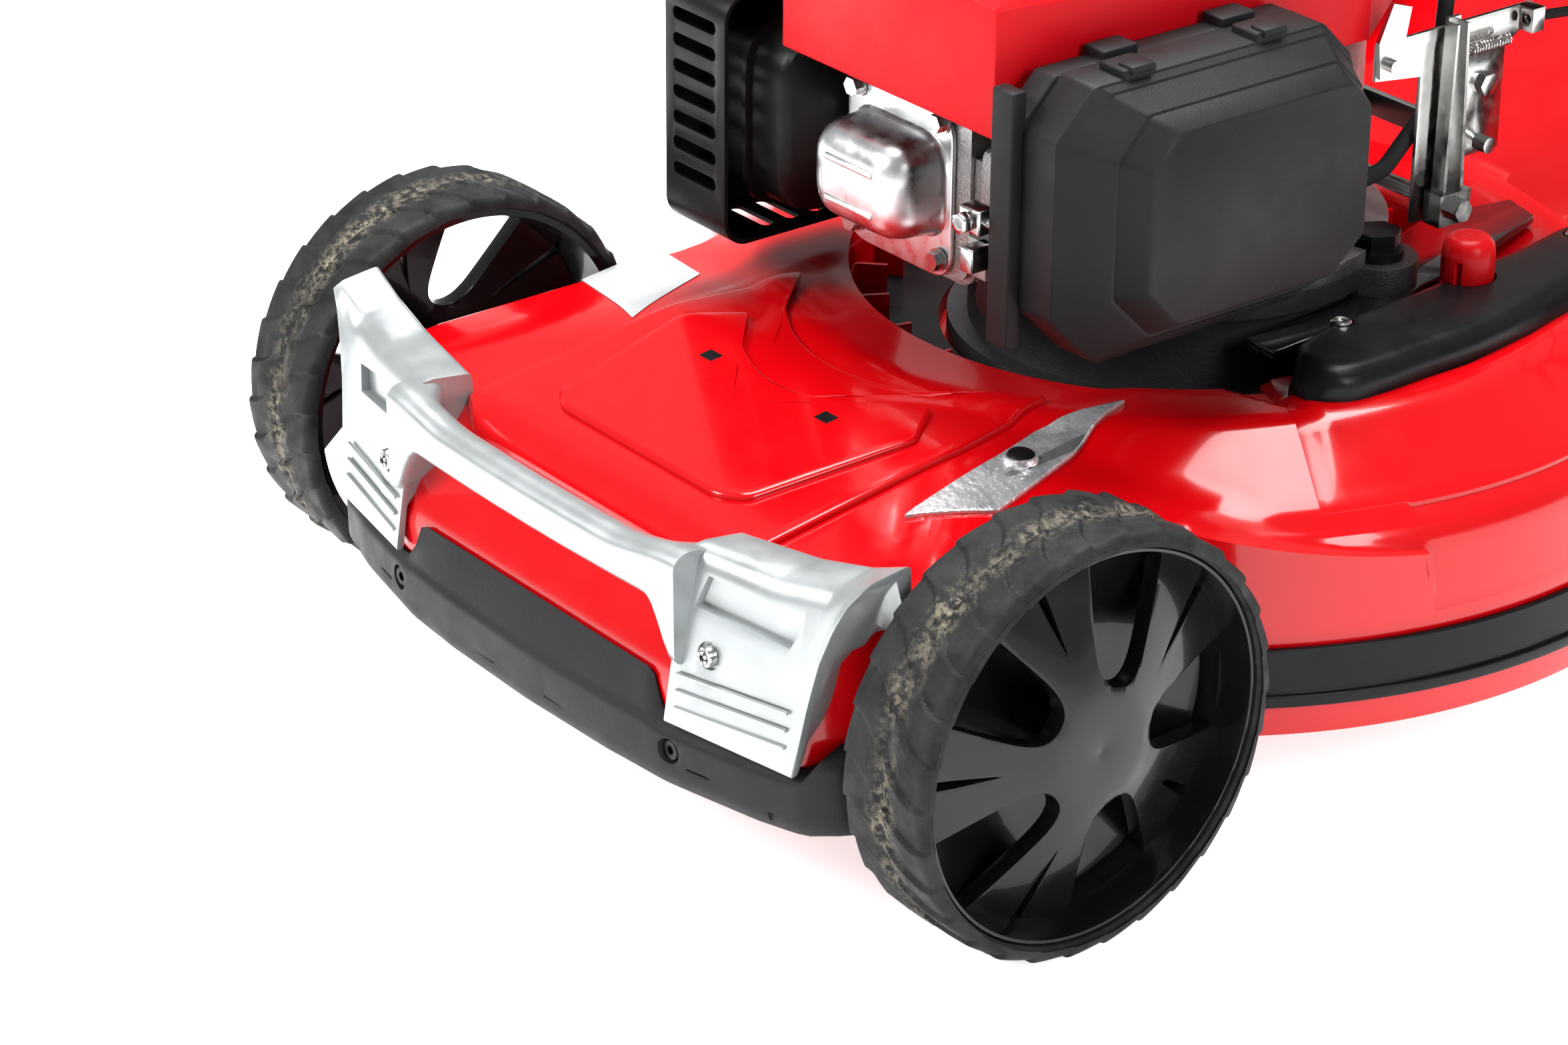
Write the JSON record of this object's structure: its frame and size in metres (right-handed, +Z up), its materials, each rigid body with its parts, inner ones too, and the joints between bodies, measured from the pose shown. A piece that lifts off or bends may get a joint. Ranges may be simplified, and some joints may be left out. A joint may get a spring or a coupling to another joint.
{
  "type": "push lawn mower",
  "caption": "Walk-behind petrol lawn mower with pressed deck, spoked wheels, vertical-shaft engine, cranked height adjustment, folding handle and stop bail",
  "frame": {"origin": "middle of the footprint on the ground", "axes": "+Z up, front of the mower towards -Y, handle towards +Y, +X is the side with the air filter, which is the left of an operator who stands behind the handle and looks forward"},
  "size_m": [0.528, 1.49, 1.0481],
  "materials": {
    "red_paint": "gloss",
    "red_plastic": "satin",
    "black_plastic": "satin",
    "gloss_black": "gloss",
    "silver_plastic": "satin",
    "clear_lens": "gloss",
    "zinc": "zinc plated",
    "cast_alloy": "as cast",
    "steel": "bare",
    "black_metal": "satin",
    "tyre_rubber": "dusty",
    "soft_rubber": "matt",
    "filter_foam": "open foam"
  },
  "bodies": {
    "chassis": {"deck_shell": "red_paint", "front_bumper": "black_plastic", "front_handle": "silver_plastic", "torx_screws": "zinc", "badge_plate": "red_plastic", "deck_lens": "clear_lens", "edge_guards": "gloss_black", "carry_grip": "gloss_black", "axle_bushes": "black_plastic", "engine_ring": "black_plastic", "sump": "cast_alloy", "crankcase": "cast_alloy", "cylinder_head": "cast_alloy", "valve_cover": "zinc", "valve_cover_bolts": "zinc", "muffler": "black_metal", "muffler_guard": "black_metal", "carburettor": "cast_alloy", "air_filter_base": "black_plastic", "air_filter_element": "filter_foam", "engine_cowl": "red_plastic", "recoil_housing": "black_plastic", "fuel_tank": "black_plastic", "fuel_hose": "soft_rubber", "control_bracket": "zinc", "handle_brackets": "zinc", "cable_engine": "soft_rubber"},
    "front_crank": {"front_axle": "steel"},
    "rear_crank": {"rear_axle": "steel"},
    "link": {"height_link": "steel"},
    "wheel_fr": {"wheel_rim_fr": "gloss_black", "wheel_tyre_fr": "tyre_rubber"},
    "wheel_fl": {"wheel_rim_fl": "gloss_black", "wheel_tyre_fl": "tyre_rubber"},
    "wheel_rr": {"wheel_rim_rr": "gloss_black", "wheel_tyre_rr": "tyre_rubber"},
    "wheel_rl": {"wheel_rim_rl": "gloss_black", "wheel_tyre_rl": "tyre_rubber"},
    "blade_shaft": {"crankshaft": "steel", "blade_hub": "steel", "blade": "steel", "blade_bolt": "zinc", "flywheel": "cast_alloy"},
    "button": {"height_button": "red_plastic"},
    "filter_cover": {"air_filter_cover": "black_plastic"},
    "tank_cap": {"fuel_cap": "black_plastic"},
    "dipstick": {"oil_cap": "black_plastic"},
    "pull_grip": {"starter_grip": "black_plastic"},
    "governor": {"governor_arm": "zinc", "governor_spring": "steel"},
    "stop_lever": {"control_lever": "zinc"},
    "flap": {"rear_flap": "black_plastic"},
    "lower_frame": {"lower_handle": "black_metal", "cable_lower": "soft_rubber"},
    "upper_frame": {"upper_handle": "black_metal", "grip_foam": "soft_rubber", "cable_upper": "soft_rubber"},
    "bail_bar": {"bail": "steel"},
    "lever_right": {"clamp_right": "black_plastic"},
    "lever_left": {"clamp_left": "black_plastic"}
  },
  "joints": [
    {"name": "front_height", "type": "hinge", "parent": "chassis", "child": "front_crank", "pos_m": [0, -0.665, 0.1], "axis": [1, 0, 0], "range_deg": [-38, 38]},
    {"name": "rear_height", "type": "hinge", "parent": "chassis", "child": "rear_crank", "pos_m": [0, -0.075, 0.12], "axis": [1, 0, 0], "range_deg": [-38, 38]},
    {"name": "link_eye", "type": "hinge", "parent": "front_crank", "child": "link", "pos_m": [0.167, -0.665, 0.128], "axis": [1, 0, 0], "range_deg": [-38, 38]},
    {"name": "wheel_fr_spin", "type": "hinge", "parent": "front_crank", "child": "wheel_fr", "pos_m": [0.232, -0.625, 0.1], "axis": [1, 0, 0], "continuous": true},
    {"name": "wheel_fl_spin", "type": "hinge", "parent": "front_crank", "child": "wheel_fl", "pos_m": [-0.232, -0.625, 0.1], "axis": [1, 0, 0], "continuous": true},
    {"name": "wheel_rr_spin", "type": "hinge", "parent": "rear_crank", "child": "wheel_rr", "pos_m": [0.232, -0.035, 0.12], "axis": [1, 0, 0], "continuous": true},
    {"name": "wheel_rl_spin", "type": "hinge", "parent": "rear_crank", "child": "wheel_rl", "pos_m": [-0.232, -0.035, 0.12], "axis": [1, 0, 0], "continuous": true},
    {"name": "blade_spin", "type": "hinge", "parent": "chassis", "child": "blade_shaft", "pos_m": [0, -0.355, 0.1], "axis": [0, 0, 1], "continuous": true},
    {"name": "button_press", "type": "slide", "parent": "chassis", "child": "button", "axis": [0, 0, -1], "range_m": [0, 0.01], "stiffness_N_per_m": 600, "springref_m": -0.004},
    {"name": "filter_cover_tilt", "type": "hinge", "parent": "chassis", "child": "filter_cover", "pos_m": [0.112, -0.463, 0.206], "axis": [0, 1, 0], "range_deg": [0, 18]},
    {"name": "fuel_cap_turn", "type": "hinge", "parent": "chassis", "child": "tank_cap", "pos_m": [0.06, -0.205, 0.4], "axis": [0, 0, 1], "range_deg": [0, 90]},
    {"name": "oil_cap_turn", "type": "hinge", "parent": "chassis", "child": "dipstick", "pos_m": [0.092, -0.307, 0.195], "axis": [0, 0, 1], "range_deg": [0, 180]},
    {"name": "starter_pull", "type": "slide", "parent": "chassis", "child": "pull_grip", "axis": [0, 0.7071, 0.7071], "range_m": [0, 0.35], "stiffness_N_per_m": 12, "springref_m": -0.3},
    {"name": "governor_turn", "type": "hinge", "parent": "chassis", "child": "governor", "pos_m": [0.1, -0.279, 0.214], "axis": [1, 0, 0], "range_deg": [-5, 3]},
    {"name": "stop_lever_turn", "type": "hinge", "parent": "chassis", "child": "stop_lever", "pos_m": [0.1, -0.319, 0.292], "axis": [1, 0, 0], "range_deg": [0, 21]},
    {"name": "flap_lift", "type": "hinge", "parent": "chassis", "child": "flap", "pos_m": [0, 0.0505, 0.267], "axis": [1, 0, 0], "range_deg": [0, 75], "stiffness_Nm_per_rad": 0.4, "springref_deg": -34.38},
    {"name": "handle_tilt", "type": "hinge", "parent": "chassis", "child": "lower_frame", "pos_m": [0, -0.013, 0.292], "axis": [1, 0, 0], "range_deg": [-10, 10]},
    {"name": "handle_fold", "type": "hinge", "parent": "lower_frame", "child": "upper_frame", "pos_m": [0, 0.28912, 0.58376], "axis": [1, 0, 0], "range_deg": [0, 135]},
    {"name": "bail_squeeze", "type": "hinge", "parent": "upper_frame", "child": "bail_bar", "pos_m": [0, 0.62721, 0.91025], "axis": [1, 0, 0], "range_deg": [-23, 0], "stiffness_Nm_per_rad": 1.2, "springref_deg": 17.19},
    {"name": "lever_right_flip", "type": "hinge", "parent": "upper_frame", "child": "lever_right", "pos_m": [0.226, 0.28912, 0.58376], "axis": [1, 0, 0], "range_deg": [0, 120]},
    {"name": "lever_left_flip", "type": "hinge", "parent": "upper_frame", "child": "lever_left", "pos_m": [-0.226, 0.28912, 0.58376], "axis": [1, 0, 0], "range_deg": [0, 120]}
  ],
  "couplings": [
    {"joint": "rear_height", "follows": "front_height", "ratio": 1},
    {"joint": "link_eye", "follows": "front_height", "ratio": -1},
    {"joint": "stop_lever_turn", "follows": "bail_squeeze", "ratio": -0.9}
  ]
}
